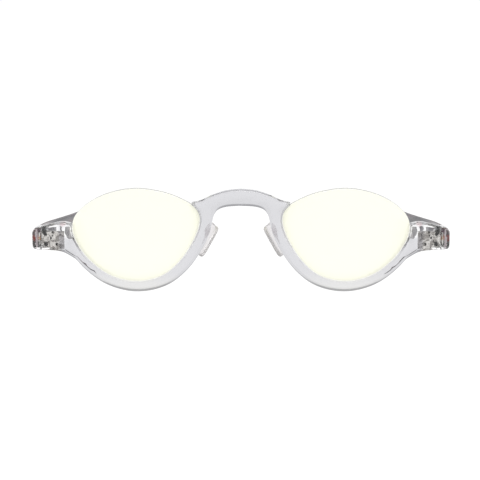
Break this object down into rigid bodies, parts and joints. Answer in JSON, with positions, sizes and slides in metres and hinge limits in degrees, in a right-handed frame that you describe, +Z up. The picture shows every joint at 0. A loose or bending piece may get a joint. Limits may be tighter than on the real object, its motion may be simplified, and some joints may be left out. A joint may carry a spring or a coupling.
{
  "type": "reading glasses",
  "caption": "Clear half-rim reading glasses with half-moon lenses, moulded nose pads and folding mottled arms on sprung hinges.",
  "frame": {"origin": "middle of the glasses at table level, with the arms open and the rims and arm tips standing on the table", "axes": "+Z up from the table, +Y from the front back along the arms, +X towards the left arm as the wearer has it"},
  "size_m": [0.1352, 0.157, 0.0335],
  "materials": {
    "clear_plastic": "polished, clear",
    "lens_plastic": "polished, clear with a faint ivory tint",
    "arm_plastic": "polished, mottled brown over a smoky grey inner layer",
    "hinge_metal": "satin nickel silver",
    "screw_steel": "bright steel",
    "spring_steel": "drawn steel wire",
    "bush_brass": "turned"
  },
  "bodies": {
    "front": {"front_frame": "clear_plastic", "left_lens": "lens_plastic", "right_lens": "lens_plastic", "left_nose_pad": "clear_plastic", "right_nose_pad": "clear_plastic", "left_hinge_plate": "hinge_metal", "right_hinge_plate": "hinge_metal", "left_plate_rivets": "hinge_metal", "right_plate_rivets": "hinge_metal"},
    "left_pin": {"left_hinge_screw": "screw_steel"},
    "left_sprung_link": {"left_slider": "hinge_metal", "left_slider_nut": "hinge_metal"},
    "left_arm_body": {"left_arm": "arm_plastic", "left_spring_box": "hinge_metal", "left_guide_bush": "bush_brass", "left_spring": "spring_steel"},
    "right_pin": {"right_hinge_screw": "screw_steel"},
    "right_sprung_link": {"right_slider": "hinge_metal", "right_slider_nut": "hinge_metal"},
    "right_arm_body": {"right_arm": "arm_plastic", "right_spring_box": "hinge_metal", "right_guide_bush": "bush_brass", "right_spring": "spring_steel"}
  },
  "joints": [
    {"name": "left_over_open", "type": "hinge", "parent": "front", "child": "left_pin", "pos_m": [0.06285, -0.06173, 0.01713], "axis": [0, 0.2062, -0.9785], "range_deg": [0, 12], "stiffness_Nm_per_rad": 0.18, "springref_deg": -2.86},
    {"name": "left_fold", "type": "hinge", "parent": "left_pin", "child": "left_sprung_link", "pos_m": [0.06285, -0.06173, 0.01713], "axis": [0, -0.2062, 0.9785], "range_deg": [0, 90]},
    {"name": "left_spring_travel", "type": "slide", "parent": "left_sprung_link", "child": "left_arm_body", "axis": [0, 0.9995, 0.0331], "range_m": [0, 0.001], "deforming": ["left_spring"]},
    {"name": "right_over_open", "type": "hinge", "parent": "front", "child": "right_pin", "pos_m": [-0.06285, -0.06173, 0.01713], "axis": [0, -0.2062, 0.9785], "range_deg": [0, 12], "stiffness_Nm_per_rad": 0.18, "springref_deg": -2.86},
    {"name": "right_fold", "type": "hinge", "parent": "right_pin", "child": "right_sprung_link", "pos_m": [-0.06285, -0.06173, 0.01713], "axis": [0, 0.2062, -0.9785], "range_deg": [0, 83]},
    {"name": "right_spring_travel", "type": "slide", "parent": "right_sprung_link", "child": "right_arm_body", "axis": [0, 0.9995, 0.0331], "range_m": [0, 0.001], "deforming": ["right_spring"]}
  ],
  "couplings": [
    {"joint": "left_spring_travel", "follows": "left_over_open", "m_per_rad": 0.0047},
    {"joint": "right_spring_travel", "follows": "right_over_open", "m_per_rad": 0.0047}
  ]
}
